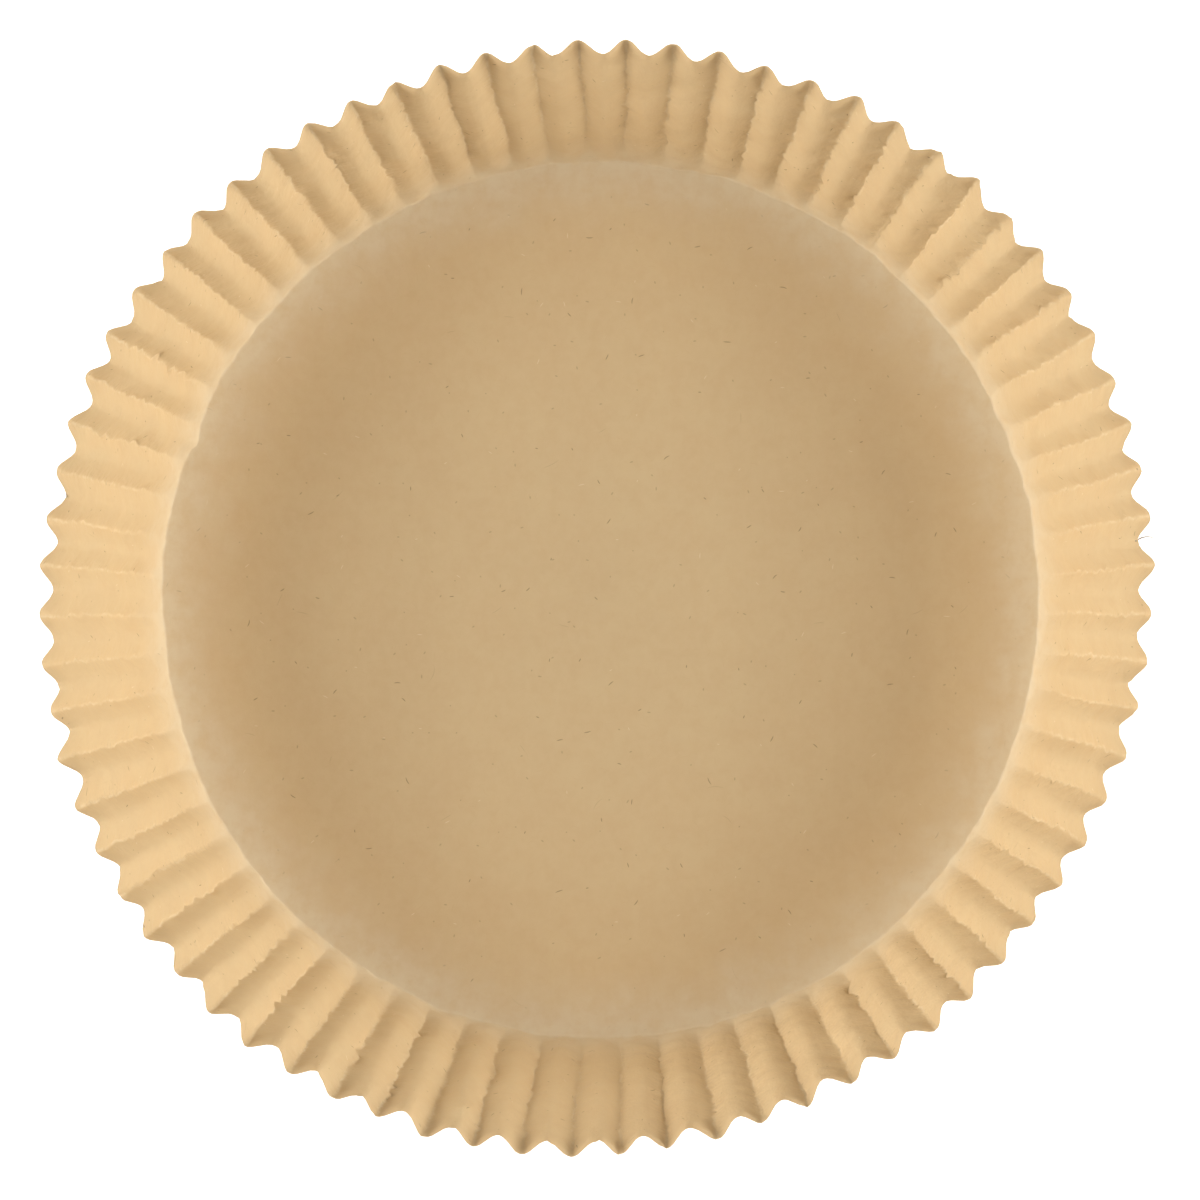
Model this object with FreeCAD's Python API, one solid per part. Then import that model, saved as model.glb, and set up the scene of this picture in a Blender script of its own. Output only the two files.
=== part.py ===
import FreeCAD
import Part

import math
import os

# A round fluted paper liner for an air fryer basket: one disc of greaseproof paper, pressed into a cup.
#
# The flat floor has one short straight side for each flute. Each side rolls up over a small corner into
# a flat triangle of paper, called a sail here, which narrows to a point at the rim. Between two sails
# lies a flute: it starts at a point on the corner and opens all the way to the rim, with two flat
# flanks, a round tip that points outward and half of a round bay at each side. All of these forms bend
# the paper without stretching it.
#
# The origin is in the middle of the underside, +Z points up and the middle of a bay lies along +X. One
# flute is drawn with its tip along +X and turned by half a pitch. Lengths are in millimetres and angles
# in radians. An inset is a depth below the paper's outer face: 0 gives the outer face and
# paper_thickness gives the inner one.

# Overall sizes
rim_diameter = 200.0  # over the flutes' tips
base_diameter = 160.0  # flat floor, over its corners
height = 45.0  # to the outer face at the rim of a bay, where the wall is highest

# The sheet
paper_thickness = 0.06

# The fluted wall
flute_count = 72
flute_depth = 2.7  # from a tip in to a bay at the rim, measured level
tip_radius = 0.9  # outside of a tip at the rim
bay_radius = 1.3  # outside of a bay at the rim

# The rolled corner between floor and wall
corner_radius = 1.8  # outside

half_pitch = math.pi / flute_count
floor_across = base_diameter / 2 * math.cos(half_pitch)  # from the axis square to one of its sides
bay_rim_radius = rim_diameter / 2 - flute_depth


def polar(radius, azimuth, z):
    """A point from its distance to the axis, its azimuth and its height."""
    return FreeCAD.Vector(radius * math.cos(azimuth), radius * math.sin(azimuth), z)


def line(start, end):
    return Part.LineSegment(start, end).toShape()


def arc(start, middle, end):
    return Part.Arc(start, middle, end).toShape()


def wall_lean():
    """The angle of a sail from upright: it leaves the corner as a tangent and ends at a bay's rim."""
    run = bay_rim_radius - floor_across
    rise = height - corner_radius
    return math.atan2(run, rise) - math.asin(corner_radius / math.hypot(run, rise))


def corner_point(turn, azimuth, inset):
    """A point of the corner where two of its rolls meet, after the paper has turned up that far."""
    radius = corner_radius - inset
    across = floor_across + radius * math.sin(turn)
    return polar(across / math.cos(half_pitch), azimuth, corner_radius - radius * math.cos(turn))


def flute_start(azimuth, inset):
    """The point where a flute begins, at the upper end of the corner."""
    return corner_point(math.pi / 2 - wall_lean(), azimuth, inset)


def tip_rim():
    """The outer face's tip at the rim. The fold up to it is as long as the middle of a sail."""
    start = flute_start(0, 0)
    fold_length = math.hypot(bay_rim_radius - start.x * math.cos(half_pitch), height - start.z)
    rise = math.sqrt(fold_length**2 - (rim_diameter / 2 - start.x) ** 2)
    return FreeCAD.Vector(rim_diameter / 2, 0, start.z + rise)


def outward():
    """The direction in the rim's plane from the line between a flute's two bays out to its tip."""
    between_bays = FreeCAD.Vector(bay_rim_radius * math.cos(half_pitch), 0, height)
    return (tip_rim() - between_bays).normalize()


def bay_rim(azimuth, inset):
    """The middle of a bay at the rim."""
    step = outward() * inset
    return polar(bay_rim_radius - step.x / math.cos(half_pitch), azimuth, height - step.z)


def rim_profile(inset):
    """The edges of one flute at the rim, from bay to bay, in the flat plane of its tip and its bays.

    One circle rounds the tip and one rounds each bay. A flank is the line that touches both circles.
    """
    out = outward()
    side = FreeCAD.Vector(0, 1, 0)
    bay = bay_rim(half_pitch, inset)
    between_bays = FreeCAD.Vector(bay.x, 0, bay.z)
    tip = tip_rim() - out * inset
    tip_round = tip_radius - inset
    bay_round = bay_radius + inset

    # the circles' centres: how far outward, and how far to the side
    tip_centre_out = (tip - between_bays).Length - tip_round
    bay_centre_out = bay_round * math.cos(half_pitch)
    bay_centre_side = bay.y + bay_round * math.sin(half_pitch)

    drop = tip_centre_out - bay_centre_out
    rounds = tip_round + bay_round
    flank_length = math.sqrt(bay_centre_side**2 + drop**2 - rounds**2)
    slope = math.atan2(drop, bay_centre_side) + math.atan2(rounds, flank_length)

    def tip_point(angle):
        place = side * (tip_round * math.sin(angle))
        return between_bays + place + out * (tip_centre_out + tip_round * math.cos(angle))

    def bay_point(angle, sign):
        place = side * (sign * (bay_centre_side - bay_round * math.sin(angle)))
        return between_bays + place + out * (bay_centre_out - bay_round * math.cos(angle))

    def half_bay(sign):
        angles = (half_pitch, (half_pitch + slope) / 2, slope)
        return arc(*[bay_point(angle, sign) for angle in angles])

    left_flank = line(bay_point(slope, -1), tip_point(-slope))
    round_tip = arc(tip_point(-slope), tip_point(0), tip_point(slope))
    right_flank = line(tip_point(slope), bay_point(slope, 1))
    return [half_bay(-1), left_flank, round_tip, right_flank, half_bay(1)]


def flute_faces(inset):
    """One flute, lofted from its starting point on the corner to its profile at the rim."""
    start = Part.Vertex(flute_start(0, inset))
    return Part.makeLoft([start, Part.Wire(rim_profile(inset))], False, True).Faces


def sail_face(inset):
    """The flat triangle between one flute and the next, from the corner up to the rim of the bay."""
    near = flute_start(0, inset)
    far = flute_start(2 * half_pitch, inset)
    return Part.Face(Part.makePolygon([near, far, bay_rim(half_pitch, inset), near]))


def corner_face(inset):
    """The roll under one sail, ruled between the two arcs where it meets the rolls beside it."""
    turns = (0, (math.pi / 2 - wall_lean()) / 2, math.pi / 2 - wall_lean())
    near, far = [
        arc(*[corner_point(turn, azimuth, inset) for turn in turns]) for azimuth in (0, 2 * half_pitch)
    ]
    return Part.makeRuledSurface(near, far)


def rim_face():
    """The cut edge of the paper along one flute."""
    edges = rim_profile(0) + rim_profile(paper_thickness)
    for azimuth in (-half_pitch, half_pitch):
        edges.append(line(bay_rim(azimuth, 0), bay_rim(azimuth, paper_thickness)))
    return Part.Face(Part.Wire(Part.__sortEdges__(edges)))


def floor_face(inset):
    """One face of the floor, with a corner below the start of each flute."""
    corners = [corner_point(0, 2 * half_pitch * i, inset) for i in range(flute_count)]
    return Part.Face(Part.makePolygon(corners + corners[:1]))


def liner():
    """The whole sheet: the faces of one flute and its sail go round the axis and meet the floor."""
    segment = [rim_face()]
    for inset in (0, paper_thickness):
        segment += flute_faces(inset) + [sail_face(inset), corner_face(inset)]

    axis = FreeCAD.Vector(0, 0, 1)
    skin = [floor_face(0), floor_face(paper_thickness)]
    for i in range(flute_count):
        for face in segment:
            turned = face.copy()
            turned.rotate(FreeCAD.Vector(), axis, i * 360 / flute_count)
            skin.append(turned)

    sewn = Part.makeCompound(skin)
    sewn.sewShape()
    solid = Part.Solid(sewn.Shells[0])
    solid.rotate(FreeCAD.Vector(), axis, 180 / flute_count)
    return solid


os.makedirs("parts", exist_ok=True)
sheet = liner()
print("paper", round(sheet.Volume), "mm3, closed", sheet.isClosed(), "and valid", sheet.isValid())
sheet.exportStep("parts/liner.step")
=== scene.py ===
# %% [markdown]
# # A fluted paper liner for an air fryer
#
# The object is one disc of brown greaseproof paper, pressed between a fluted punch and die into a
# shallow cup. Nothing is glued or cut: it has a flat floor, one small rounded corner, and a wall
# whose spare paper is taken up by 72 flutes. Blender's part is to make that one sheet again as a
# fine surface, with the soft and crinkled folds of real paper, and to give it the look of kraft.
#
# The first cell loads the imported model. It gives the true size, so the lengths below are either
# read from it or are details in millimetres.

# %% Load the frame
import math

import bpy
import numpy as np
from mathutils import Matrix, Vector


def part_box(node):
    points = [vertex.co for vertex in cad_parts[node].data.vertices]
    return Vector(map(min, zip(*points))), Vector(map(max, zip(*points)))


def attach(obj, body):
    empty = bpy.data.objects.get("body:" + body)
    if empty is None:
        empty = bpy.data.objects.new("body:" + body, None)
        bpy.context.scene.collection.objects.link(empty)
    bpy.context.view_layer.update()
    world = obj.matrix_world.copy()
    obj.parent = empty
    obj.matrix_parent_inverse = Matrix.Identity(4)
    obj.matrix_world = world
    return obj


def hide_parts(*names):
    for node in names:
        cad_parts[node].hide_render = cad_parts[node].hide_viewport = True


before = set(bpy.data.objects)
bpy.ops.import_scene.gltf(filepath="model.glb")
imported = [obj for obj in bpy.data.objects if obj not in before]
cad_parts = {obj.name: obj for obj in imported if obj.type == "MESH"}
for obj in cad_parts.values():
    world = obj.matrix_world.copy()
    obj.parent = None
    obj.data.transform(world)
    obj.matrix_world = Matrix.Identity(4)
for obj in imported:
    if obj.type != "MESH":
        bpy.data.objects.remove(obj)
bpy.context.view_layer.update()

MM = 0.001
low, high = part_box("liner")
RIM_RADIUS = (high[0] - low[0]) / 2 / MM
HEIGHT = high[2] / MM
FLUTES = 72
FLUTE_DEPTH = 2.7
print("rim radius %.2f mm, height %.2f mm" % (RIM_RADIUS, HEIGHT))

# %% [markdown]
# ## Unevenness
#
# A press makes every flute alike, but paper answers with small accidents: a crease wanders, a
# ridge is a little flatter than its neighbour. Three kinds of unevenness are needed. `scatter`
# gives one number to each flute. `kinks` gives each flute a jagged line of its own along the
# height, straight between random knots, as a crease in stiff paper has. `swell` is smooth in
# space, so it can be read anywhere on the sheet and has no seam. Each draws from its own seed, so
# the cup comes out the same every time.

# %% Random helpers
def scatter(seed, spread):
    """One random number for each flute, normally spread about zero."""
    return np.random.default_rng(seed).normal(0.0, spread, FLUTES)


def kinks(along, spacing, seed, spread, rare=0.0):
    """A jagged line for each flute, as an array of flutes by rows.

    Random knots lie one spacing apart along the height and are joined by straight lines. Each
    flute's knots start at a height of its own. A rare share of them is two and a half times as
    large.
    """
    draw = np.random.default_rng(seed)
    place = along[None, :] / spacing + draw.uniform(0.0, 1.0, (FLUTES, 1))
    knots = draw.normal(0.0, spread, (FLUTES, int(place.max()) + 2))
    knots = knots * np.where(draw.random(knots.shape) < rare, 2.5, 1.0)
    first = place.astype(int)
    part = place - first
    rows = np.arange(FLUTES)[:, None]
    return knots[rows, first] * (1.0 - part) + knots[rows, first + 1] * part


def swell(points, length, seed, waves=28):
    """Smooth unevenness of about unit size: a sum of plane waves.

    Their directions and phases are random, and their lengths lie between 0.7 and 1.5 times length.
    """
    draw = np.random.default_rng(seed)
    way = draw.normal(size=(waves, 3))
    way /= np.linalg.norm(way, axis=1, keepdims=True)
    way *= 2.0 * np.pi / (length * draw.uniform(0.7, 1.5, (waves, 1)))
    phase = draw.uniform(0.0, 2.0 * np.pi, waves)
    return np.cos(points @ way.T + phase).sum(-1) / math.sqrt(waves / 2.0)


print("flute scatter, first three:", scatter(1, 1.0)[:3].round(2))

# %% [markdown]
# ## The creases
#
# A crease is the outermost line of a flute, where the paper turns sharply. The creases are not
# quite evenly spaced, because the blank never lies exactly true in the press: they drift by up to
# about a degree in slow waves round the cup, and each one is a little off by itself. Each wave is
# given by its number round the cup, its size, and where it is largest, in degrees.

# %% Place the creases
FIRST_CREASE = 2.31
CREASE_DRIFT = [(1, 0.79, 323.5), (2, 0.18, 177.7), (3, 0.065, 78.7)]
PITCH_SCATTER = 0.13

even = np.arange(FLUTES) * 360.0 / FLUTES
crease = even + FIRST_CREASE + scatter(11, PITCH_SCATTER)
for waves, drift, towards in CREASE_DRIFT:
    crease = crease + drift * np.cos(waves * np.radians(even - towards))
crease = np.radians(crease)
following = np.append(crease[1:], crease[0] + 2.0 * np.pi)
ridge = (crease + following) / 2.0
pitch = np.degrees(following - crease)
print("pitch: %.2f to %.2f degrees" % (pitch.min(), pitch.max()))

# %% [markdown]
# ## The columns of the sheet
#
# The sheet is a grid: rows run round the cup and columns run from the floor to the rim. Each flute
# gets ten columns. They crowd together at the crease and spread out over the soft ridge between
# two creases. Near the rim the fold opens, so there they lie more evenly. A column's step is how
# far it lies from its crease, as a share of the way to the ridge.

# %% Place the columns
STEPS = np.array([0.0, 0.05, 0.17, 0.42, 0.72, 1.0])
STEPS_AT_RIM = np.array([0.0, 0.13, 0.28, 0.68, 0.86, 1.0])
COLUMNS = FLUTES * 2 * (STEPS.size - 1)


def each_column(going, coming):
    """Values for the columns of every flute.

    First come those that lead from its crease to the ridge, then those that lead on to the next
    crease.
    """
    shape = (FLUTES, STEPS.size), (FLUTES, STEPS.size - 2)
    return np.hstack([np.broadcast_to(going, shape[0]), np.broadcast_to(coming, shape[1])]).ravel()


number = np.arange(FLUTES)[:, None]
column_flute = each_column(number, (number + 1) % FLUTES)
column_side = each_column(1.0, -1.0)
column_from = each_column(crease[:, None], following[:, None])
half_angle = each_column((ridge - crease)[:, None], (following - ridge)[:, None])
step_low = each_column(STEPS, STEPS[-2:0:-1])
step_rim = each_column(STEPS_AT_RIM, STEPS_AT_RIM[-2:0:-1])
column_turn = column_from + column_side * half_angle * step_low
print("columns:", COLUMNS)

# %% [markdown]
# ## The section through the cup
#
# Cut through a ridge, the cup is a floor that lifts very slightly towards its edge, a small round
# corner, and a straight wall that leans outwards. The wall starts where a line from the rim
# touches the corner's circle, so nothing kinks. The middle of the floor is a little crowned, as
# paper is once the press lets it go.

# %% Draw the section
FLOOR_FLAT = 63.0
FLOOR_EDGE = 79.6
FLOOR_LIFT = 0.65
FLOOR_BULGE = 0.6
CORNER_RADIUS = 0.6
RIDGE_RIM = RIM_RADIUS - FLUTE_DEPTH

edge_slope = math.atan(2.0 * FLOOR_LIFT / (FLOOR_EDGE - FLOOR_FLAT))
centre_out = FLOOR_EDGE - CORNER_RADIUS * math.sin(edge_slope)
centre_up = FLOOR_LIFT + CORNER_RADIUS * math.cos(edge_slope)
reach = math.hypot(RIDGE_RIM - centre_out, HEIGHT - centre_up)
wall_slope = math.atan2(HEIGHT - centre_up, RIDGE_RIM - centre_out)
wall_slope = wall_slope + math.asin(CORNER_RADIUS / reach)
foot_out = centre_out + CORNER_RADIUS * math.sin(wall_slope)
foot_up = centre_up - CORNER_RADIUS * math.cos(wall_slope)
WALL_LENGTH = math.hypot(RIDGE_RIM - foot_out, HEIGHT - foot_up)


def floor_height(out):
    """Height of the floor at a distance out from the middle.

    A low bulge falls with the fourth power of the distance, and outside it a parabola rises to
    the edge.
    """
    bulge = FLOOR_BULGE * np.clip(1.0 - (out / FLOOR_FLAT) ** 4, 0.0, None)
    beyond = np.clip((out - FLOOR_FLAT) / (FLOOR_EDGE - FLOOR_FLAT), 0.0, None)
    return bulge + FLOOR_LIFT * beyond**2


print("wall %.1f mm long, leaning %.1f degrees" % (WALL_LENGTH, 90 - math.degrees(wall_slope)))

# %% [markdown]
# ## The rows of the sheet
#
# The wall has most of the rows, and they lie a little closer together at its foot, where the
# flutes begin. Every row knows how far out and how high it is, its rise as a share of the wall,
# and its distance along the paper, which is its radius on the flat disc.

# %% Place the rows
FOOT_ROWS_TO, RIM_ROWS_FROM = 0.12, 0.9

rise = np.concatenate(
    [
        np.linspace(0.0, FOOT_ROWS_TO, 8)[:-1],
        np.linspace(FOOT_ROWS_TO, RIM_ROWS_FROM, 44)[:-1],
        np.linspace(RIM_ROWS_FROM, 1.0, 6),
    ]
)
turn = np.linspace(edge_slope, wall_slope, 6)[1:-1]
edge_out = np.array([75.0, 77.2, FLOOR_EDGE])
row_out = np.concatenate(
    [
        edge_out,
        centre_out + CORNER_RADIUS * np.sin(turn),
        foot_out + (RIDGE_RIM - foot_out) * rise,
    ]
)
row_up = np.concatenate(
    [
        floor_height(edge_out),
        centre_up - CORNER_RADIUS * np.cos(turn),
        foot_up + (HEIGHT - foot_up) * rise,
    ]
)
row_rise = np.concatenate([np.zeros(edge_out.size + turn.size), rise])
row_along = edge_out[0] + np.concatenate(
    [[0.0], np.cumsum(np.hypot(np.diff(row_out), np.diff(row_up)))]
)
ROWS = row_out.size
FOOT_ROW = edge_out.size + turn.size
print("rows:", ROWS)

# %% [markdown]
# ## One flute
#
# The flute is the feature that makes the cup. A disc that is folded up has spare paper, and the
# spare grows with the distance up the wall. Low down it is taken up by a shallow arch between two
# creases, whose steepness grows with the square root of the height: that root is why each flute
# starts with a blunt, finger-like end. Over most of the wall the flanks then keep nearly the same
# slope while a straight part grows beside the crease, and over the last fifth they steepen, until
# the edge is nearly a sine curve.
#
# Across one half of a flute the slope therefore climbs from nothing over the crease's small
# rounding, stays level on the flank, and falls in a straight line to nothing at the ridge. The
# shape is that slope added up. Heights are shares of the wall here, and widths are millimetres.

# %% The flute's shape
SLOPE_LOW = 0.6
SLOPE_FALLS = 0.07
SLOPE_AT_RIM = 1.07
STEEPER_FROM = 0.8
FLUTE_START = 0.005
STEEPEST_AT = 0.16
ARCH_HALFWAY = 0.48
ARCH_AT_RIM = 0.40
ARCH_FADE = 0.1
FOLD_HALF = 0.14
FOLD_HALF_FOOT = 1.6
FOLD_FADE = 0.09
FOLD_HALF_RIM = 1.5
FOLD_OPENS_AT = 0.92


def steepness(up):
    """Slope of the flanks at a share up the wall.

    It is the square root of the height above the flute's start, up to a level that falls a
    little over most of the wall and rises with the square of the height over the last fifth.
    """
    start = np.clip((up - FLUTE_START) / STEEPEST_AT, 0.0, None)
    near_rim = np.clip((up - STEEPER_FROM) / (1.0 - STEEPER_FROM), 0.0, 1.0) ** 2
    level = SLOPE_LOW - SLOPE_FALLS * up
    level = level + (SLOPE_AT_RIM - level) * near_rim
    return level * np.sqrt(start / (1.0 + start**3) ** (1.0 / 3.0))


def arch_share(up):
    """How much of the way from the crease to the ridge is arch.

    It is nearly all at the foot, falls away exponentially to about half at mid-height, and is two
    fifths at the rim.
    """
    straight = ARCH_HALFWAY + (ARCH_AT_RIM - ARCH_HALFWAY) * (2.0 * up - 1.0)
    return straight + (1.0 - straight) * np.exp(-up / ARCH_FADE)


def fold_half(up):
    """Half the width of the rounding at the crease, in mm.

    It is wide at the foot, where the flute is only a hollow, falls away exponentially to a sharp
    fold, and opens again just below the rim.
    """
    opened = np.clip((up - FOLD_OPENS_AT) / (1.0 - FOLD_OPENS_AT), 0.0, 1.0) ** 1.5
    foot = FOLD_HALF_FOOT * np.exp(-up / FOLD_FADE)
    return FOLD_HALF + foot + (FOLD_HALF_RIM - FOLD_HALF) * opened


def flute_height(step, up, half_pitch, rounding=1.0):
    """How far the paper stands out from the ridge line, in mm.

    step runs from 0 at the crease to 1 at the ridge. The slope rises over the fold, is level on
    the flank and falls in a straight line over the arch, and this is its sum from the ridge.
    """
    fold = fold_half(up) * rounding / half_pitch
    arch = np.minimum(arch_share(up), 1.0 - fold)
    whole = 1.0 - fold / 2.0 - arch / 2.0
    in_fold = step**2 / (2.0 * fold)
    on_flank = step - fold / 2.0
    on_arch = whole - (1.0 - step) ** 2 / (2.0 * arch)
    gone = np.where(step < fold, in_fold, np.where(step < 1.0 - arch, on_flank, on_arch))
    return half_pitch * steepness(up) * (whole - gone)


print("depth at the rim: %.2f mm" % flute_height(0.0, 1.0, RIM_RADIUS * math.pi / FLUTES))

# %% [markdown]
# ## Every point's place on the wall
#
# Before anything is bent, each point of the grid gets its place: how far up the wall, in which
# flute, on which side of the crease, and how many millimetres from it. The steps change from the
# low set to the rim's set over the upper part of the wall.

# %% Lay out the grid
SPREAD_FROM, SPREAD_OVER = 0.75, 0.22

up = row_rise[None, :]
flute = column_flute[:, None]
side = column_side[:, None]
spread_out = np.clip((up - SPREAD_FROM) / SPREAD_OVER, 0.0, 1.0)
step = step_low[:, None] * (1.0 - spread_out) + step_rim[:, None] * spread_out
turned = column_from[:, None] + side * half_angle[:, None] * step
half_pitch = half_angle[:, None] * row_out[None, :]
from_crease = step * half_pitch
along = row_rise * WALL_LENGTH
flat = np.stack(
    [row_out * np.cos(turned), row_out * np.sin(turned), row_up + 0.0 * turned], -1
)
print("grid:", turned.shape)

# %% [markdown]
# ## Creases that wander and zigzag
#
# The spare paper that the flutes can't take crinkles along the creases, so each crease wanders
# slowly from side to side and has small teeth. The teeth are full over the middle of the wall and
# die away towards the floor and the rim. One crease was knocked and has a bend in it. A sideways
# move dies away within a few millimetres of its crease, so that columns never cross.

# %% Move the creases sideways
BENT_TURN, BENT_UP, BENT_BY, BENT_HALF = 232.4, 0.66, 0.5, 0.045
WANDER_REACH, TEETH_REACH = 3.0, 0.75
TEETH_FROM, TEETH_GROW, TEETH_TO, TEETH_FADE = 0.04, 0.16, 1.01, 0.14
TEETH_VARY = 0.14
CALM_FOOT = 0.1
WANDER, WANDER_SPACING = 0.17, 10.0
COARSE_TEETH, COARSE_SPACING, COARSE_RARE = 0.14, 2.2, 0.15
FINE_TEETH, FINE_SPACING, FINE_RARE = 0.235, 0.84, 0.1

above_start = np.clip((up - FLUTE_START) / CALM_FOOT, 0.0, 1.0)
toothed = np.clip((up - TEETH_FROM) / TEETH_GROW, 0.0, 1.0)
toothed = toothed * np.clip((TEETH_TO - up) / TEETH_FADE, 0.0, 1.0)
toothed = toothed * np.exp(scatter(24, TEETH_VARY))[flute]
wander = kinks(along, WANDER_SPACING, 21, WANDER)[column_flute]
teeth = kinks(along, COARSE_SPACING, 22, COARSE_TEETH, COARSE_RARE)
teeth = (teeth + kinks(along, FINE_SPACING, 23, FINE_TEETH, FINE_RARE))[column_flute]

bent = np.abs(crease - math.radians(BENT_TURN)).argmin()
away = (up - BENT_UP) / BENT_HALF
bend = BENT_BY * away * np.exp(1.0 - away**2) * (flute == bent)

sideways = above_start * (wander + bend) * np.exp(-from_crease / WANDER_REACH)
sideways = sideways + toothed * teeth * np.exp(-from_crease / TEETH_REACH)
print("largest move sideways: %.2f mm" % np.abs(sideways).max())

# %% [markdown]
# ## Ripples on the flanks
#
# The crinkles don't stop at the crease. Small ripples run from it over each flank, slanting
# downwards as they leave it, and the whole wall is a little wavy. Beside the bent crease lies one
# short hollow, a quarter of a millimetre deep.

# %% Lay the ripples
RIPPLE, RIPPLE_SPACING, RIPPLE_SLANT = 0.08, 2.1, 0.9
RIPPLE_KNOTS = 40
WAVY, CRUMPLED = 0.16, 0.06
HOLLOW_DEEP, HOLLOW_HALF = 0.25, 0.03

slant = np.clip(along[None, :] + RIPPLE_SLANT * from_crease, 0.0, WALL_LENGTH)


def ripples(seed):
    """Small ripples that run from each crease over one flank.

    They are a random line along the height, rounded between its knots and read at a height that
    grows with the distance from the crease.
    """
    draw = np.random.default_rng(seed)
    knots = draw.normal(0.0, RIPPLE, (FLUTES, RIPPLE_KNOTS))
    place = slant / RIPPLE_SPACING + draw.uniform(0.0, 1.0, FLUTES)[flute]
    first = place.astype(int)
    part = place - first
    smooth = part * part * (3.0 - 2.0 * part)
    return knots[flute, first] * (1.0 - smooth) + knots[flute, first + 1] * smooth


ripple = np.where(side > 0, ripples(34), ripples(35))
ripple = ripple * above_start * np.sin(np.pi * np.clip(step * 1.25, 0.0, 1.0)) ** 1.5
wobble = WAVY * np.clip(up * 4.0, 0.0, 1.0) * swell(flat, 17.0, 36)
wobble = wobble + CRUMPLED * np.clip(up * 8.0, 0.0, 1.0) * swell(flat, 4.5, 38, 60)
across = (up - BENT_UP + 0.03 * step) / HOLLOW_HALF
hollow = HOLLOW_DEEP * np.exp(-(across**2)) * step * (1.0 - step) * 4.0
ripple = ripple - hollow * (flute == bent) * (side > 0)
print("ripples: %.2f mm, waves: %.2f mm" % (np.abs(ripple).max(), np.abs(wobble).max()))

# %% [markdown]
# ## The flutes on the wall
#
# The flute stands out from the section along a line close to the wall's own normal, so a crease
# is lower and further out than the ridge beside it. The flutes open faster at first than they
# would in a straight line to their depth at the rim, so the whole wall draws in by a share of
# the difference.

# %% Stand the flutes out
OUTWARD = math.radians(20.9)
DRAWN_IN = 0.3
ROUNDING_VARY, DEPTH_VARY, RIM_VARY = 0.12, 0.05, 0.15
LIFT, LIFT_SPACING, LIFT_REACH = 0.07, 1.3, 0.6

depth = flute_height(step, up, half_pitch, 1.0 + scatter(31, ROUNDING_VARY)[flute])
depth = depth * (1.0 + scatter(32, DEPTH_VARY)[flute])
lift = toothed * kinks(along, LIFT_SPACING, 33, LIFT)[column_flute]
lift = lift * np.exp(-from_crease / LIFT_REACH)
rim_scatter = scatter(37, RIM_VARY)[flute] * up**2
even_depth = FLUTE_DEPTH / math.cos(OUTWARD) * up
too_deep = np.clip(depth.max(0) - even_depth, 0, None)
out = depth + lift + ripple + wobble + rim_scatter - DRAWN_IN * too_deep
turned = turned + sideways / row_out[None, :]
print("deepest flute at the rim: %.2f mm" % depth[:, -1].max())

# %% [markdown]
# ## Out of round
#
# Paper springs back unevenly, so the rim is slightly oval and a little three-sided, and the floor
# sits just off the middle of the rim. The floor's edge is a little wavy too, and at one place the
# press caught the paper late and left a small step in that edge. The cut rim has one nick.

# %% Put the wall together
OVAL, OVAL_TOWARDS = 1.3, 46.4
THREE_SIDED, THREE_TOWARDS = 0.37, 14.8
FLOOR_SHIFT = 0.8
STEP_TURN, STEP_IN, STEP_SHARP, STEP_FADE = 159.4, 1.2, 0.25, 4.0
NICK_TURN, NICK_DEEP, NICK_BESIDE = 169.3, 1.1, 0.35
# size and length of the waves in the floor's edge and in the height of the wall
LONG_WAVE, MIDDLE_WAVE, SHORT_WAVE = (0.12, 13.0), (0.09, 4.0), (0.04, 1.7)
WALL_WAVE = (0.1, 14.0)
EDGE_WAVES_FROM, EDGE_WAVES_OVER = 74.0, 4.0

oval = OVAL * np.cos(2.0 * (turned - math.radians(OVAL_TOWARDS)))
oval = oval + THREE_SIDED * np.cos(3.0 * (turned - math.radians(THREE_TOWARDS)))

past = STEP_TURN - np.degrees(turned)
edge_step = STEP_IN * np.exp(-np.clip(past, 0.0, None) / STEP_FADE)
edge_step = edge_step / (1.0 + np.exp(-np.clip(past / STEP_SHARP, -50.0, 50.0)))
edge_wave = LONG_WAVE[0] * swell(flat, LONG_WAVE[1], 41)
edge_wave = edge_wave + MIDDLE_WAVE[0] * swell(flat, MIDDLE_WAVE[1], 43)
edge_wave = edge_wave + SHORT_WAVE[0] * swell(flat, SHORT_WAVE[1], 44, 60) - edge_step
edge_wave = edge_wave * (1.0 - np.clip(up * 6.0, 0.0, 1.0))
edge_wave = edge_wave * np.clip((row_out - EDGE_WAVES_FROM) / EDGE_WAVES_OVER, 0.0, 1.0)
radius = row_out[None, :] + out * math.cos(OUTWARD) + oval * up**1.5 + edge_wave
height = row_up[None, :] - out * math.sin(OUTWARD)
height = height + WALL_WAVE[0] * up * swell(flat, WALL_WAVE[1], 42)

nicked = np.abs(column_turn - math.radians(NICK_TURN)).argmin()
height[nicked, -1] -= NICK_DEEP
height[nicked + 1, -1] += NICK_BESIDE
wall = np.stack(
    [radius * np.cos(turned) + FLOOR_SHIFT * (1.0 - up), radius * np.sin(turned), height], -1
)
print("wall grid:", wall.shape, "highest point %.2f mm" % wall[..., 2].max())

# %% [markdown]
# ## The floor
#
# A floor with as many points round its middle as round its edge would waste most of them, so
# each ring further in has the same number of points as the last or half as many, and the centre
# is closed by a fan. Each ring is given by its radius and by which points of the last ring it
# keeps: every one, or every second one.

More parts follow.
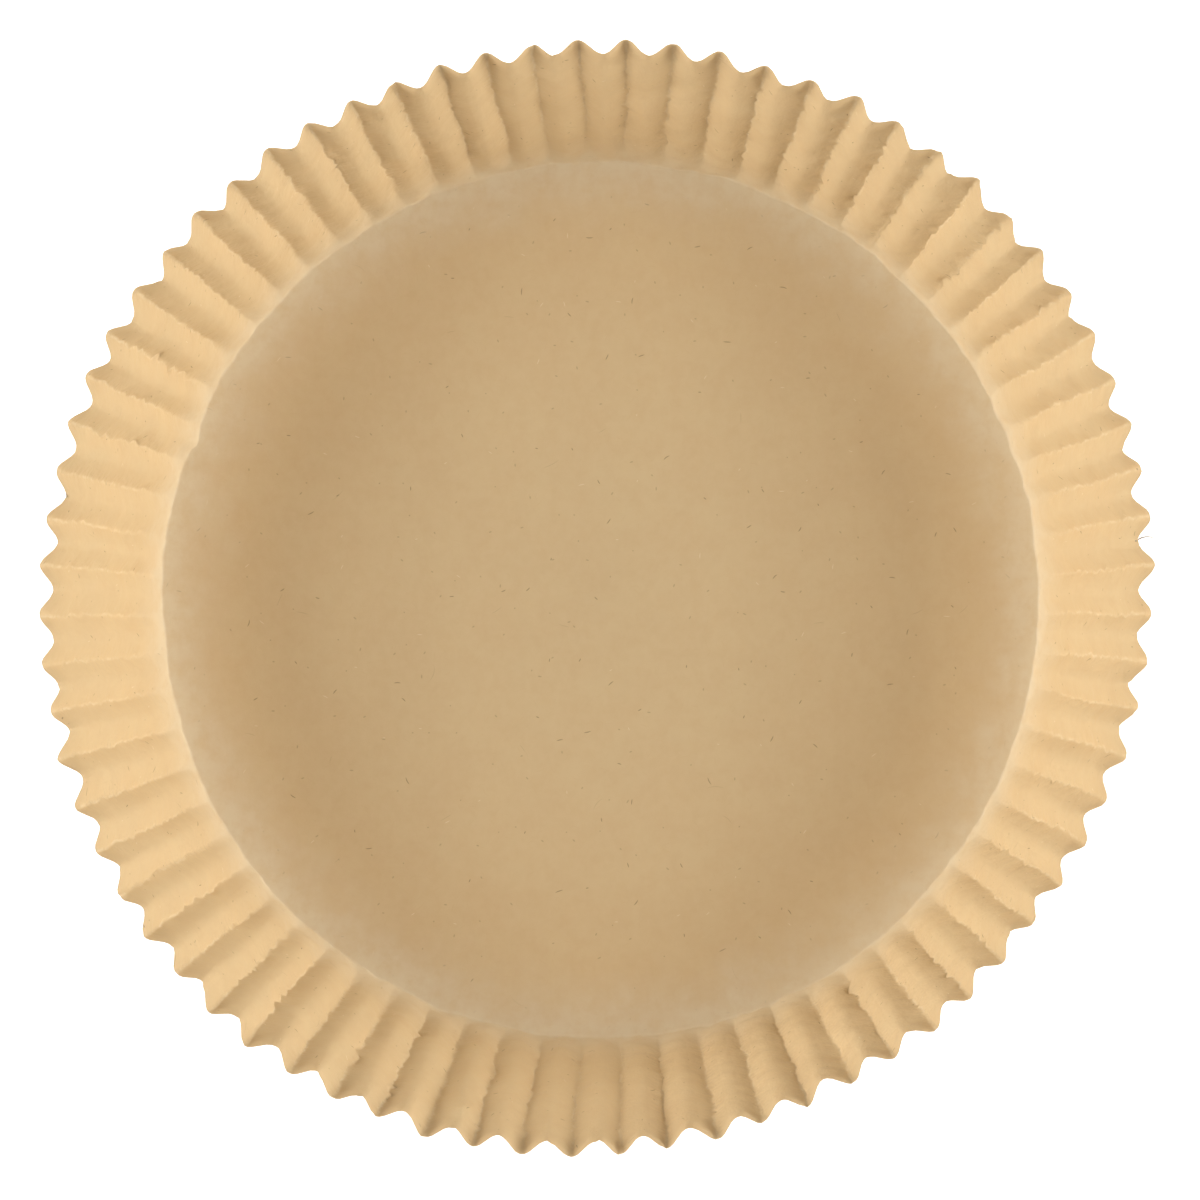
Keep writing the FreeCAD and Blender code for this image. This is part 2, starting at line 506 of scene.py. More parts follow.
# %% Work out the floor
FLOOR_RINGS = [
    (72.8, 2), (70.2, 1), (66.8, 2), (62.5, 1), (57.0, 1), (51.0, 2),
    (44.5, 1), (37.5, 1), (30.0, 1), (22.0, 2), (14.5, 1), (7.0, 1),
]
rings = []
kept = np.arange(COLUMNS)
for ring_radius, thinned in FLOOR_RINGS:
    kept = kept[::thinned]
    turns = column_turn[kept]
    ring = np.stack(
        [
            ring_radius * np.cos(turns) + FLOOR_SHIFT,
            ring_radius * np.sin(turns),
            np.full(kept.size, float(floor_height(np.array(ring_radius)))),
        ],
        -1,
    )
    rings.append((ring, kept))
print("floor rings:", [len(ring) for ring, _ in rings])

# %% [markdown]
# ## Faces for the grid and the rings
#
# A grid of rows and columns needs one quad for each of its cells. Between two rings with the same
# number of points the cells are quads as well. Where the inner ring has half as many, every one
# of its cells becomes three triangles. Points of the floor count as far from any crease.

# %% Join the grid and the rings
FAR_FROM_CREASE = 5.0

vertices = [wall.transpose(1, 0, 2).reshape(-1, 3)]
sheet_radius = [np.repeat(row_along, COLUMNS)]
sheet_turn = [np.tile(column_turn, ROWS)]
crease_gap = [np.where(up > 0, from_crease, half_pitch).T.ravel()]
crease_own = [np.tile(column_flute.astype(float), ROWS)]

grid = np.arange(ROWS * COLUMNS).reshape(ROWS, COLUMNS)
beside = np.roll(grid, -1, axis=1)
quads = np.stack([grid[:-1], grid[1:], beside[1:], beside[:-1]], -1).reshape(-1, 4)
triangles = []
outer_ring = grid[0]
total = ROWS * COLUMNS
for ring, kept in rings:
    inner_ring = total + np.arange(len(ring))
    total += len(ring)
    vertices.append(ring)
    sheet_radius.append(np.full(len(ring), np.hypot(ring[0, 0] - FLOOR_SHIFT, ring[0, 1])))
    sheet_turn.append(column_turn[kept])
    crease_gap.append(np.full(len(ring), FAR_FROM_CREASE))
    crease_own.append(np.zeros(len(ring)))
    inner_next = np.roll(inner_ring, -1)
    if inner_ring.size == outer_ring.size:
        outer_next = np.roll(outer_ring, -1)
        quads = np.vstack([quads, np.stack([inner_ring, outer_ring, outer_next, inner_next], -1)])
    else:
        here, middle = outer_ring[::2], outer_ring[1::2]
        beyond = np.roll(here, -1)
        triangles += [
            np.stack([here, middle, inner_ring], -1),
            np.stack([middle, inner_next, inner_ring], -1),
            np.stack([middle, beyond, inner_next], -1),
        ]
    outer_ring = inner_ring
print("wall and rings: %d quads" % len(quads))

# %% [markdown]
# ## The middle of the floor
#
# A fan of triangles closes the innermost ring. Then the floor is given slow waves of a tenth of a
# millimetre, which die out before its edge, as paper never lies quite flat.

# %% Close the floor
FLOOR_WAVE, FLOOR_WAVE_LONG = 0.10, 38.0
WAVES_OUT_AT, WAVES_FADE = 76.0, 8.0

vertices.append(np.array([[FLOOR_SHIFT, 0.0, float(floor_height(np.array(0.0)))]]))
for values, last in (
    (sheet_radius, 0.0), (sheet_turn, 0.0), (crease_gap, FAR_FROM_CREASE), (crease_own, 0.0)
):
    values.append(np.array([last]))
centre = np.full(outer_ring.size, total)
triangles.append(np.stack([outer_ring, np.roll(outer_ring, -1), centre], -1))
triangles = np.vstack(triangles)

vertices = np.vstack(vertices)
sheet_radius, sheet_turn, crease_gap, crease_own = map(
    np.concatenate, (sheet_radius, sheet_turn, crease_gap, crease_own)
)
crease_up = sheet_radius - row_along[FOOT_ROW]
on_floor = np.clip((WAVES_OUT_AT - sheet_radius) / WAVES_FADE, 0.0, 1.0)
waves = 1.0 + np.clip(swell(vertices, FLOOR_WAVE_LONG, 51), -1.0, 1.0)
vertices[:, 2] += on_floor * FLOOR_WAVE * waves
print("one side: %d points, %d quads, %d triangles" % (len(vertices), len(quads), len(triangles)))

# %% [markdown]
# ## From one side to a sheet
#
# Real paper has two faces and an edge. The grid is the middle of the sheet, so each face is the
# grid moved by half the paper's thickness along its own normals, and a narrow strip round the rim
# closes the two. The result is one closed skin, and it is 0.06 mm thick like the paper.

# %% Give the sheet its thickness
PAPER = 0.06


def point_normals(points, quads, triangles):
    """Unit normals at the points.

    Each face's normal, as long as twice its area, is added to its corners, and the sums are made
    unit length. A face's normal is the sum of the cross products of its spokes, which run from
    its first corner to the others.
    """
    total = np.zeros_like(points)
    for faces in (quads, triangles):
        spokes = points[faces[:, 1:]] - points[faces[:, :1]]
        facing = np.cross(spokes[:, :-1], spokes[:, 1:]).sum(1)
        for corner in range(faces.shape[1]):
            np.add.at(total, faces[:, corner], facing)
    return total / np.linalg.norm(total, axis=1, keepdims=True)


normals = point_normals(vertices, quads, triangles)
COUNT = len(vertices)
both = np.vstack([vertices + normals * PAPER / 2, vertices - normals * PAPER / 2])
both[:, 2] += PAPER / 2
top = grid[-1]
top_next = np.roll(top, -1)
strip = np.stack([top, top + COUNT, top_next + COUNT, top_next], -1)
all_quads = np.vstack([quads, quads[:, ::-1] + COUNT, strip])
all_triangles = np.vstack([triangles, triangles[:, ::-1] + COUNT])
print("faces as triangles:", 2 * len(all_quads) + len(all_triangles))

# %% [markdown]
# ## The mesh
#
# The skin is shaded smooth, apart from the two edges of the strip round the rim, where cut paper
# is sharp.

# %% Build the mesh
mesh = bpy.data.meshes.new("paper_liner")
mesh.from_pydata((both * MM).tolist(), [], all_quads.tolist() + all_triangles.tolist())
mesh.shade_smooth()

ends = np.empty(len(mesh.edges) * 2, dtype=np.int64)
mesh.edges.foreach_get("vertices", ends)
ends = ends.reshape(-1, 2)
at_rim = np.isin(ends, np.concatenate([top, top + COUNT])).all(1)
across = np.abs(ends[:, 0] - ends[:, 1]) == COUNT
sharp = mesh.attributes.new("sharp_edge", "BOOLEAN", "EDGE")
sharp.data.foreach_set("value", at_rim & ~across)
print("sharp edges:", int((at_rim & ~across).sum()))

# %% [markdown]
# ## Coordinates that belong to the paper
#
# Fibres lie in the sheet, so their pattern has to bend with it. Each point remembers where it was
# on the flat disc, in millimetres, in an attribute named `sheet`, and the outer face reads a part
# of the pattern of its own. A second attribute, `crease`, holds the distance from the nearest
# crease, the distance up the wall and the flute's number. It serves the crinkles too fine for the
# mesh, and it places the painted sheen and the painted crease highlights. The UV map is the same
# disc laid out twice, once for each face.

# %% Store the paper's coordinates
SECOND_FACE = 400.0
FLUTE_APART = 37.0
DISC = 0.288
FIRST_DISC_AT, SECOND_DISC_AT = 0.2929, 0.7071

flat_xy = np.stack([sheet_radius * np.cos(sheet_turn), sheet_radius * np.sin(sheet_turn)], -1)
sheet = np.zeros((2 * COUNT, 3), dtype=np.float32)
sheet[:COUNT, :2] = flat_xy
sheet[COUNT:, :2] = flat_xy + SECOND_FACE
mesh.attributes.new("sheet", "FLOAT_VECTOR", "POINT").data.foreach_set("vector", sheet.ravel())
near = np.tile(np.stack([crease_gap, crease_up, crease_own * FLUTE_APART], -1), (2, 1))
near = near.astype(np.float32)
mesh.attributes.new("crease", "FLOAT_VECTOR", "POINT").data.foreach_set("vector", near.ravel())

BLANK = sheet_radius.max()
disc = DISC * flat_xy / BLANK
disc = np.concatenate([FIRST_DISC_AT + disc, SECOND_DISC_AT + disc])
corners = np.empty(len(mesh.loops), dtype=np.int64)
mesh.loops.foreach_get("vertex_index", corners)
uv_map = mesh.uv_layers.new(name="OFBake")
uv_map.uv.foreach_set("vector", disc[corners].astype(np.float32).ravel())
mesh.validate()
mesh.update()
print("flat blank: %.1f mm across" % (2 * BLANK))

# %% [markdown]
# ## The finished sheet
#
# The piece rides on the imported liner's body and takes the place of its plain solid.

# %% Put the liner in the scene
liner = bpy.data.objects.new("paper_liner", mesh)
bpy.context.scene.collection.objects.link(liner)
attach(liner, "root")
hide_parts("liner")
print("pieces:", liner.name)

# %% [markdown]
# ## Kraft paper
#
# Unbleached paper is not one colour. It is a warm tan with soft clouds where the pulp settled
# thicker, a finer felt of fibres, and now and then a dark or pale sliver of wood. It is made as a
# graph of shader nodes, and a few short helpers keep that graph readable: each one adds a node and
# hands back its output.

# %% Node helpers
WHITE = (1.0, 1.0, 1.0, 1.0)


def fresh_tree(owner):
    """The node tree of a material or a world, switched on and emptied."""
    owner.use_nodes = True
    owner.node_tree.nodes.clear()
    return owner.node_tree


def add(kind, links=None, **settings):
    """A new node with some settings, and with values or links put on its inputs."""
    made = tree.nodes.new(kind)
    for name, value in settings.items():
        setattr(made, name, value)
    for socket, value in (links or {}).items():
        if isinstance(value, bpy.types.NodeSocket):
            tree.links.new(value, made.inputs[socket])
        else:
            made.inputs[socket].default_value = value
    return made


def calc(operation, *values):
    """A Math node."""
    return add("ShaderNodeMath", dict(enumerate(values)), operation=operation).outputs[0]


def vector(operation, *values):
    """A Vector Math node."""
    return add("ShaderNodeVectorMath", dict(enumerate(values)), operation=operation).outputs[0]


def span(value, low, high, to_low=0.0, to_high=1.0):
    """A Map Range node: low..high becomes to_low..to_high, held at both ends."""
    links = {"Value": value, "From Min": low, "From Max": high, "To Min": to_low, "To Max": to_high}
    return add("ShaderNodeMapRange", links, clamp=True).outputs["Result"]


def blend(color, other, amount):
    """Color mixed towards other by amount."""
    return add("ShaderNodeMix", {6: color, 7: other, 0: amount}, data_type="RGBA").outputs[2]


def noise(place, scale, detail=2.0, roughness=0.5, dimensions="2D"):
    """A Noise Texture's value, 0 to 1, with scale in features for each unit of place."""
    links = {"Vector": place, "Scale": scale, "Detail": detail, "Roughness": roughness}
    return add("ShaderNodeTexNoise", links, noise_dimensions=dimensions).outputs["Fac"]


paper = bpy.data.materials.new("kraft_paper")
tree = fresh_tree(paper)
place = add("ShaderNodeAttribute", attribute_name="sheet").outputs["Vector"]
folded = add("ShaderNodeAttribute", attribute_name="crease").outputs["Vector"]
print("attributes read:", [node.attribute_name for node in tree.nodes])

# %% [markdown]
# ## Slivers of fibre
#
# Slivers are made with Voronoi cells. Each cell has a centre and a random colour, so the place
# relative to the centre is turned by a random angle, and whatever lies inside a thin ellipse
# there is the sliver. The ellipse is bent by adding a parabola across it.

# %% Scatter slivers
WHOLE_TURN = 6.283
LOTTERY = 7.13


def slivers(place, cell, long, wide, share, bend):
    """A mask of thin slivers, at most one in each cell of that size in mm: 1 inside, 0 outside.

    long and wide are about half their length and width, and share is how many cells have one.
    Inside is where the squares of the two distances from the centre, each divided by its half
    size, add up to less than about one.
    """
    links = {"Vector": place, "Scale": 1.0 / cell, "Randomness": 1.0}
    cells = add("ShaderNodeTexVoronoi", links, voronoi_dimensions="2D")
    lottery = add("ShaderNodeSeparateColor", {"Color": cells.outputs["Color"]}).outputs
    local = vector("SUBTRACT", place, cells.outputs["Position"])
    links = {"Vector": local, "Angle": calc("MULTIPLY", lottery[0], WHOLE_TURN)}
    local = add("ShaderNodeVectorRotate", links, rotation_type="Z_AXIS").outputs[0]
    xyz = add("ShaderNodeSeparateXYZ", {0: local}).outputs
    length = calc("MULTIPLY_ADD", lottery[1], long * 0.8, long * 0.4)
    curve = calc("MULTIPLY", calc("MULTIPLY", xyz[0], xyz[0]), calc("SUBTRACT", lottery[2], 0.5))
    across = calc("ADD", xyz[1], calc("MULTIPLY", curve, bend))
    far_long = calc("POWER", calc("DIVIDE", xyz[0], length), 2.0)
    far_wide = calc("POWER", calc("DIVIDE", across, wide), 2.0)
    inside = span(calc("ADD", far_long, far_wide), 1.3, 0.5)
    chosen = calc("LESS_THAN", calc("FRACT", calc("MULTIPLY", lottery[1], LOTTERY)), share)
    return calc("MULTIPLY", inside, chosen)


print("each cell's draw: its angle, its length and whether it is used, and its bend")

# %% [markdown]
# ## The paper's colour
#
# The base tan is mixed towards a darker cloud at two scales and towards a paler felt at a fine
# one. Over them lie five kinds of sliver: faint fibres, dark flecks, small crumbs, pale chips and
# a few long hairs. All but the first read the pattern at a shifted place, so that no two coincide.

# %% Mix the paper's colour
PAPER_COLOR = (0.660, 0.487, 0.266, 1.0)
CLOUD_COLOR = (0.642, 0.459, 0.247, 1.0)
FELT_COLOR = (0.689, 0.520, 0.296, 1.0)
DARK_COLOR = (0.234, 0.140, 0.065, 1.0)
PALE_COLOR = (0.820, 0.685, 0.450, 1.0)
PATCH_SHIFT = (29.0, 61.0, 0.0)
CLOUD_SCALE, PATCH_SCALE, FELT_SCALE = 0.075, 0.23, 0.55
CLOUD_SHARE, PATCH_SHARE, FELT_SHARE = 0.6, 0.75, 0.32

# shift, cell, half length and half width in mm, then share, bend, colour and strength
SLIVERS = [
    (None, 3.1, 0.85, 0.07, 0.75, 0.5, CLOUD_COLOR, 0.7),
    ((57.0, 23.0, 0.0), 10.0, 0.60, 0.10, 0.6, 0.6, DARK_COLOR, 0.62),
    ((91.0, 71.0, 0.0), 5.7, 0.30, 0.13, 0.45, 0.0, DARK_COLOR, 0.36),
    ((33.0, 87.0, 0.0), 12.0, 0.5, 0.075, 0.6, 0.4, PALE_COLOR, 0.6),
    ((17.0, 49.0, 0.0), 19.0, 1.5, 0.06, 0.6, 0.35, DARK_COLOR, 0.22),
]

cloud = span(noise(place, CLOUD_SCALE, 3.0, 0.55), 0.36, 0.66)
patch = span(noise(vector("ADD", place, PATCH_SHIFT), PATCH_SCALE, 3.0, 0.6), 0.40, 0.66)
felt = span(noise(place, FELT_SCALE, 4.0, 0.62), 0.35, 0.68)
color = blend(PAPER_COLOR, CLOUD_COLOR, calc("MULTIPLY", cloud, CLOUD_SHARE))
color = blend(color, CLOUD_COLOR, calc("MULTIPLY", patch, PATCH_SHARE))
color = blend(color, FELT_COLOR, calc("MULTIPLY", felt, FELT_SHARE))
for shift, cell, long, wide, share, bend, tint, strength in SLIVERS:
    where = vector("ADD", place, shift) if shift else place
    mask = slivers(where, cell, long, wide, share, bend)
    color = blend(color, tint, calc("MULTIPLY", mask, strength))
print("nodes for the colour:", len(tree.nodes))

# %% [markdown]
# ## Painted sheen on the floor's edge and painted highlights on the creases
#
# The paper round the edge of the floor is painted milky, unevenly, over the last centimetre of the
# floor and up the foot of the wall. This is a painted sheen: the pale highlight that the lamps
# leave where the floor rounds up into the wall. Along the creases a painted highlight lightens the
# paper a little here and there, where the fold catches the light, and it also lightens creases in
# shade.

# %% Pale the edge and the creases
# Painted light: the milky colour is a painted sheen on the floor's edge, and the next colour is a
# painted highlight along the creases.
EDGE_SHEEN_COLOR = (0.715, 0.580, 0.380, 1.0)
CREASE_HIGHLIGHT_COLOR = (0.780, 0.630, 0.395, 1.0)
SHEEN_FROM, SHEEN_FULL = -15.0, -1.6
SHEEN_TO, SHEEN_FADES = 11.0, -0.5
UNEVEN_SCALE, UNEVEN_BY = 0.14, 12.0
MOTTLE_SCALE, CREASE_HIGHLIGHT_SCALE = 0.35, 0.3
CREASE_HIGHLIGHT_HALF, CREASE_HIGHLIGHT_CORE = 0.42, 0.05
CREASE_HIGHLIGHT_FROM, CREASE_HIGHLIGHT_FULL = 5.0, 18.0

across_fold, up_wall, flute_number = add("ShaderNodeSeparateXYZ", {0: folded}).outputs
lowered = calc("SUBTRACT", up_wall, UNEVEN_BY / 2.0)
uneven = calc("MULTIPLY_ADD", noise(place, UNEVEN_SCALE, 3.0, 0.6), UNEVEN_BY, lowered)
# The band of painted sheen covers the floor's last centimetre and the foot of the wall, with an
# uneven edge.
edge_sheen = calc(
    "MULTIPLY", span(uneven, SHEEN_FROM, SHEEN_FULL), span(up_wall, SHEEN_TO, SHEEN_FADES)
)
mottled = span(noise(place, MOTTLE_SCALE, 3.0, 0.6), 0.25, 0.6, 0.5, 1.0)
color = blend(color, EDGE_SHEEN_COLOR, calc("MULTIPLY", calc("POWER", edge_sheen, 1.6), mottled))

# A painted highlight runs along each crease, where the fold catches the light. It also lightens
# creases in shade.
on_crease = span(across_fold, CREASE_HIGHLIGHT_HALF, CREASE_HIGHLIGHT_CORE)
crease_highlight = calc("MULTIPLY", on_crease, span(up_wall, CREASE_HIGHLIGHT_FROM, CREASE_HIGHLIGHT_FULL))
here_and_there = span(noise(place, CREASE_HIGHLIGHT_SCALE, 4.0, 0.7), 0.44, 0.62, 0.05, 0.5)
crease_highlight = calc("MULTIPLY", crease_highlight, here_and_there)
color = blend(color, CREASE_HIGHLIGHT_COLOR, crease_highlight)
# The count includes the nodes of the painted sheen and the painted crease highlight.
print("nodes with the painted sheen and highlights:", len(tree.nodes))

# %% [markdown]
# ## Crinkles too fine for the mesh
#
# Four kinds of relief go on as bump. Along each crease, where the press squeezed the paper, there
# are crinkles a millimetre or two long that lie across the fold and fade within a few millimetres.
# The whole sheet has a fine tooth and a slow cockle, and the wall is a little crumpled besides.
# Heights are in millimetres, so the Bump node's distance is one thousandth of a metre.
# Greaseproof paper is smooth and slightly shiny, so its roughness is moderate.

# %% Relief and shader
CRINKLE, TOOTH, COCKLE, CRUMPLE = 0.34, 0.012, 0.10, 0.13
CRINKLE_SCALE, TOOTH_SCALE, COCKLE_SCALE, CRUMPLE_SCALE = 1.15, 2.6, 0.16, 0.45
CRINKLE_REACH, CRINKLE_STRETCH = 2.6, 0.55
SMOOTHEST, ROUGHEST = 0.56, 0.66

squeezed = add(
    "ShaderNodeCombineXYZ",
    {0: calc("MULTIPLY", across_fold, CRINKLE_STRETCH), 1: up_wall, 2: flute_number},
).outputs[0]
near_crease = calc("MULTIPLY", span(across_fold, CRINKLE_REACH, 0.0), span(up_wall, 2.0, 8.0))
crinkle = calc("MULTIPLY", noise(squeezed, CRINKLE_SCALE, 3.0, 0.6, "3D"), near_crease)
crinkle = calc("MULTIPLY", crinkle, CRINKLE)
tooth = calc("MULTIPLY", noise(place, TOOTH_SCALE, 3.0, 0.6), TOOTH)
cockle = calc("MULTIPLY", noise(place, COCKLE_SCALE, 2.0, 0.5), COCKLE)
on_wall = span(up_wall, 0.0, 4.0, 0.0, CRUMPLE)
crumple = calc("MULTIPLY", noise(place, CRUMPLE_SCALE, 2.0, 0.55), on_wall)
relief = calc("ADD", calc("ADD", crinkle, tooth), calc("ADD", cockle, crumple))
bump = add("ShaderNodeBump", {"Height": relief, "Strength": 1.0, "Distance": MM}).outputs[0]

shader = add(
    "ShaderNodeBsdfPrincipled",
    {
        "Base Color": color,
        "Roughness": span(felt, 0.0, 1.0, SMOOTHEST, ROUGHEST),
        "IOR": 1.45,
        "Specular IOR Level": 0.4,
        "Normal": bump,
    },
)
add("ShaderNodeOutputMaterial", {"Surface": shader.outputs[0]})
mesh.materials.append(paper)
print("paper nodes:", len(tree.nodes))

# %% [markdown]
# ## A stray fibre
#
# One loose fibre sticks out of the rim, as cut paper often has. It is a thin tube carried along a
# short bent path, and it narrows towards its free end.

# %% Make the fibre
def tube(path, thickness, sides=6):
    """Points and faces of a closed tube.

    Circles are carried along a path, square to it, with radii that go with it, and a point closes
    each end.
    """
    ahead = np.gradient(path, axis=0)
    ahead /= np.linalg.norm(ahead, axis=1, keepdims=True)
    first = np.cross(ahead, [0.0, 0.0, 1.0])
    first /= np.linalg.norm(first, axis=1, keepdims=True)
    second = np.cross(first, ahead)
    turns = np.arange(sides) * 2.0 * np.pi / sides
    circle = np.cos(turns)[None, :, None] * first[:, None]
    circle = circle + np.sin(turns)[None, :, None] * second[:, None]
    skin = path[:, None] + thickness[:, None, None] * circle
    count = len(path)
    ids = np.arange(count * sides).reshape(count, sides)
    next_ids = np.roll(ids, -1, axis=1)
    walls = np.stack([ids[:-1], next_ids[:-1], next_ids[1:], ids[1:]], -1).reshape(-1, 4)
    points = np.vstack([skin.reshape(-1, 3), path[:1], path[-1:]])
    start, end = count * sides, count * sides + 1
    caps = np.vstack(
        [
            np.stack([next_ids[0], ids[0], np.full(sides, start)], -1),
            np.stack([ids[-1], next_ids[-1], np.full(sides, end)], -1),
        ]
    )
    return points, walls.tolist() + caps.tolist()


FIBRE_TURN = math.radians(5.8)
FIBRE_FROM, FIBRE_REACH = 97.05, 3.2
FIBRE_THICK, FIBRE_NARROWS = 0.11, 0.45
FIBRE_BELOW = 0.55
FIBRE_SWING, FIBRE_RISE, FIBRE_DROOP = 0.006, 0.5, 0.4

run = np.linspace(0.0, 1.0, 14)
fibre_out = FIBRE_FROM + FIBRE_REACH * run
fibre_turn = FIBRE_TURN + FIBRE_SWING * np.sin(2.6 * run)
fibre_up = HEIGHT - FIBRE_BELOW + FIBRE_RISE * run - FIBRE_DROOP * run**2
fibre_path = np.stack(
    [fibre_out * np.cos(fibre_turn), fibre_out * np.sin(fibre_turn), fibre_up], -1
)
fibre_points, fibre_faces = tube(fibre_path, FIBRE_THICK * (1.0 - FIBRE_NARROWS * run**2))
fibre_mesh = bpy.data.meshes.new("stray_fibre")
fibre_mesh.from_pydata((fibre_points * MM).tolist(), [], fibre_faces)
fibre_mesh.shade_smooth()
fibre = bpy.data.objects.new("stray_fibre", fibre_mesh)
bpy.context.scene.collection.objects.link(fibre)
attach(fibre, "root")
print("fibre: %.1f mm long" % np.linalg.norm(np.diff(fibre_path, axis=0), axis=1).sum())

# %% [markdown]
# ## The fibre's colour
#
# The loose fibre is a grey-brown of its own, a little lighter and darker along its length. A fine
# noise picks the place on a ramp between two tints.

# %% Colour the fibre
FIBRE_DARK = (0.17, 0.14, 0.11, 1.0)
FIBRE_PALE = (0.36, 0.31, 0.25, 1.0)
FIBRE_GRAIN = 900.0

fibre_paper = bpy.data.materials.new("loose_fibre")
tree = fresh_tree(fibre_paper)
fibre_place = add("ShaderNodeTexCoord").outputs["Object"]
grain = noise(fibre_place, FIBRE_GRAIN, dimensions="3D")
tint = add("ShaderNodeValToRGB", {"Fac": grain})
tint.color_ramp.elements[0].color = FIBRE_DARK
tint.color_ramp.elements[1].color = FIBRE_PALE
fibre_shader = add(
    "ShaderNodeBsdfPrincipled", {"Base Color": tint.outputs["Color"], "Roughness": 0.7}
)
add("ShaderNodeOutputMaterial", {"Surface": fibre_shader.outputs[0]})
fibre_mesh.materials.append(fibre_paper)
print("fibre nodes:", len(tree.nodes))

# %% [markdown]
# ## The floor of the studio
#
# The cup stands on a large white sheet. It should look plain white, with only the cup's own soft
# shadow, and without pouring more light on the paper. So the sheet glows, but only for rays that
# come from the camera or by way of a glossy or clear surface: less near the cup, where the lamps
# light it, and fully further away, where they don't.

# %% Stage
HALF = 6.0
FLOOR_WHITE = (0.86, 0.86, 0.86, 1.0)
LIT_TO, UNLIT_FROM = 0.25, 0.9
GLOW_NEAR, GLOW_FAR = 0.6, 1.0


def seen_plainly():
    """1 for rays from the camera or a glossy or clear surface, and 0 for all other rays."""
    path = add("ShaderNodeLightPath").outputs
    mirrored = calc("MAXIMUM", path["Is Glossy Ray"], path["Is Transmission Ray"])
    return calc("MAXIMUM", path["Is Camera Ray"], mirrored)


stage_mesh = bpy.data.meshes.new("studio_floor")
stage_corners = [(-HALF, -HALF, 0.0), (HALF, -HALF, 0.0), (HALF, HALF, 0.0), (-HALF, HALF, 0.0)]
stage_mesh.from_pydata(stage_corners, [], [(0, 1, 2, 3)])
studio_floor = bpy.data.objects.new("studio_floor", stage_mesh)
bpy.context.scene.collection.objects.link(studio_floor)

white = bpy.data.materials.new("studio_white")
tree = fresh_tree(white)
matt = add("ShaderNodeBsdfDiffuse", {"Color": FLOOR_WHITE})
stage_place = add("ShaderNodeTexCoord").outputs["Object"]
from_cup = add("ShaderNodeVectorMath", {0: stage_place}, operation="LENGTH").outputs["Value"]
strength = span(from_cup, LIT_TO, UNLIT_FROM, GLOW_NEAR, GLOW_FAR)
glow = add("ShaderNodeEmission", {"Color": WHITE, "Strength": strength})
glowing = add("ShaderNodeAddShader", {0: matt.outputs[0], 1: glow.outputs[0]})
shown = add("ShaderNodeMixShader", {0: seen_plainly(), 1: matt.outputs[0], 2: glowing.outputs[0]})
add("ShaderNodeOutputMaterial", {"Surface": shown.outputs[0]})
stage_mesh.materials.append(white)
print("studio floor: %.0f m across" % (2 * HALF))

# %% [markdown]
# ## Light
#
# Broad soft lamps stand to the left and right at three heights. The low ones light the flanks
# turned towards them and leave the others darker, and that is what draws the flutes. Weak lamps
# between them and at the front and back keep the shaded flanks from going dull, and one small lamp
# above brings out the floor. Every lamp has its mirror images, so both sides get the same light.

# %% Lamps
LAMP_FAR = 1.4
ABOVE_SIZE, ABOVE_POWER = 0.3, 2.1
# turn round the cup and rise above level (degrees), width and height (m), power (W)
LAMPS = [
    (0.0, 19.0, 1.4, 0.24, 6.6),
    (30.0, 19.0, 0.6, 0.24, 1.0),
    (52.0, 19.0, 0.6, 0.24, 2.0),
    (90.0, 19.0, 0.6, 0.24, 0.5),
    (0.0, 28.0, 1.1, 0.26, 6.1),
    (0.0, 38.0, 0.6, 0.36, 6.0),
]


def lamp(name, turn, rise, across, down, power):
    """A soft rectangular lamp aimed at the cup, at its turn and rise in degrees."""
    light = bpy.data.lights.new(name, "AREA")
    light.shape = "RECTANGLE"
    light.size, light.size_y = across, down
    light.energy = power
    turn, rise = math.radians(turn), math.radians(rise)
    holder = bpy.data.objects.new(name, light)
    holder.location = LAMP_FAR * Vector(
        (math.cos(rise) * math.cos(turn), math.cos(rise) * math.sin(turn), math.sin(rise))
    )
    holder.rotation_mode = "QUATERNION"
    holder.rotation_quaternion = (-holder.location).to_track_quat("-Z", "Y")
    holder.visible_camera = False
    bpy.context.scene.collection.objects.link(holder)


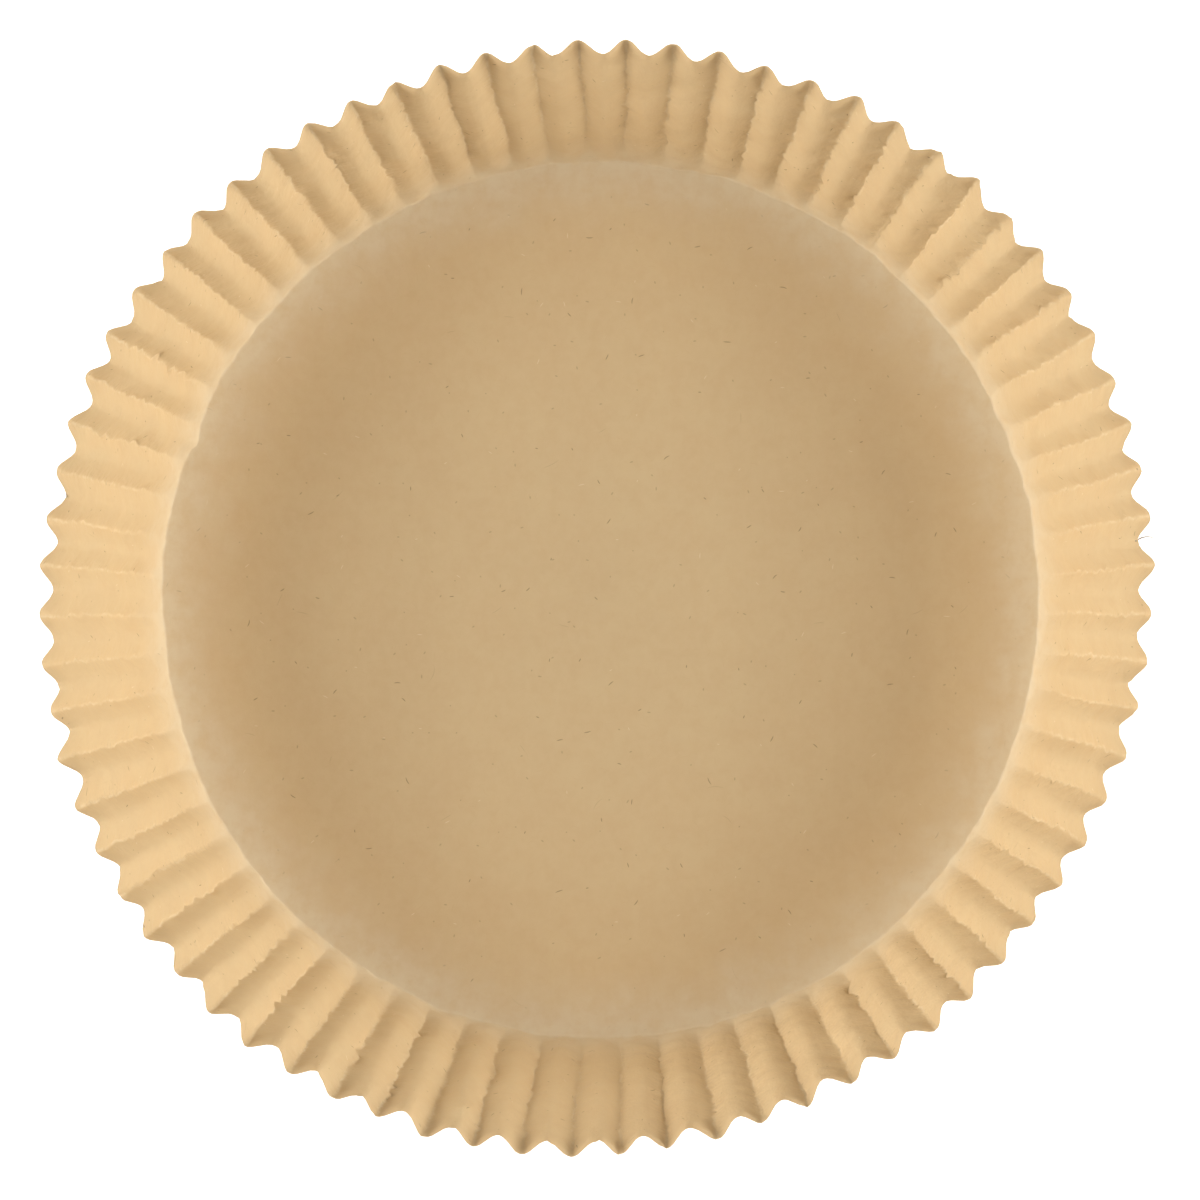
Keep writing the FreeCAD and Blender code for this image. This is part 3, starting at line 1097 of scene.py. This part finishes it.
for number, (turn, rise, across, down, power) in enumerate(LAMPS):
    for towards in sorted({turn, -turn % 360.0, 180.0 - turn, 180.0 + turn}):
        lamp("lamp_%d_%03d" % (number, towards), towards, rise, across, down, power)
lamp("lamp_above", 0.0, 90.0, ABOVE_SIZE, ABOVE_SIZE, ABOVE_POWER)
print("lamps:", len(bpy.data.lights))

# %% [markdown]
# ## The surround
#
# The world behind everything is white to the eye and nearly dark as a light, so the lamps alone
# shape the flutes.

# %% Surround
SURROUND = 0.01

world = bpy.data.worlds.new("surround")
bpy.context.scene.world = world
tree = fresh_tree(world)
fill = add("ShaderNodeBackground", {"Color": WHITE, "Strength": SURROUND})
plain = add("ShaderNodeBackground", {"Color": WHITE, "Strength": 1.0})
shown = add("ShaderNodeMixShader", {0: seen_plainly(), 1: fill.outputs[0], 2: plain.outputs[0]})
add("ShaderNodeOutputWorld", {"Surface": shown.outputs[0]})
print("world nodes:", len(tree.nodes))

# %% [markdown]
# ## Camera
#
# The cup is seen from straight above, from far enough away that the floor looks almost as large
# as it is. A long lens does that. The camera stands a few centimetres off the axis, so the floor
# shows slightly off the middle of the rim. Its axes are worked out one by one, so that it is not
# rolled: up in the view is +Y.

# %% Camera
CAMERA_UP = 2.2
CAMERA_ASIDE = (0.011, -0.031)
AIM_ASIDE = (0.00093, -0.0007)
SEEN_WIDTH = 0.2143
SENSOR = 36.0

scene = bpy.context.scene
camera = bpy.data.objects.new("camera", bpy.data.cameras.new("camera"))
scene.collection.objects.link(camera)
camera.data.sensor_width = SENSOR
camera.data.lens = SENSOR * CAMERA_UP / SEEN_WIDTH
camera.location = (*CAMERA_ASIDE, HEIGHT * MM + CAMERA_UP)
aim = Vector((*AIM_ASIDE, HEIGHT * MM))
ahead = (aim - camera.location).normalized()
right = ahead.cross(Vector((0.0, 1.0, 0.0))).normalized()
axes = Matrix((right, right.cross(ahead), -ahead)).transposed()
camera.rotation_mode = "QUATERNION"
camera.rotation_quaternion = axes.to_quaternion()
scene.camera = camera
scene.view_settings.view_transform = "Standard"
print("lens: %.0f mm" % camera.data.lens)
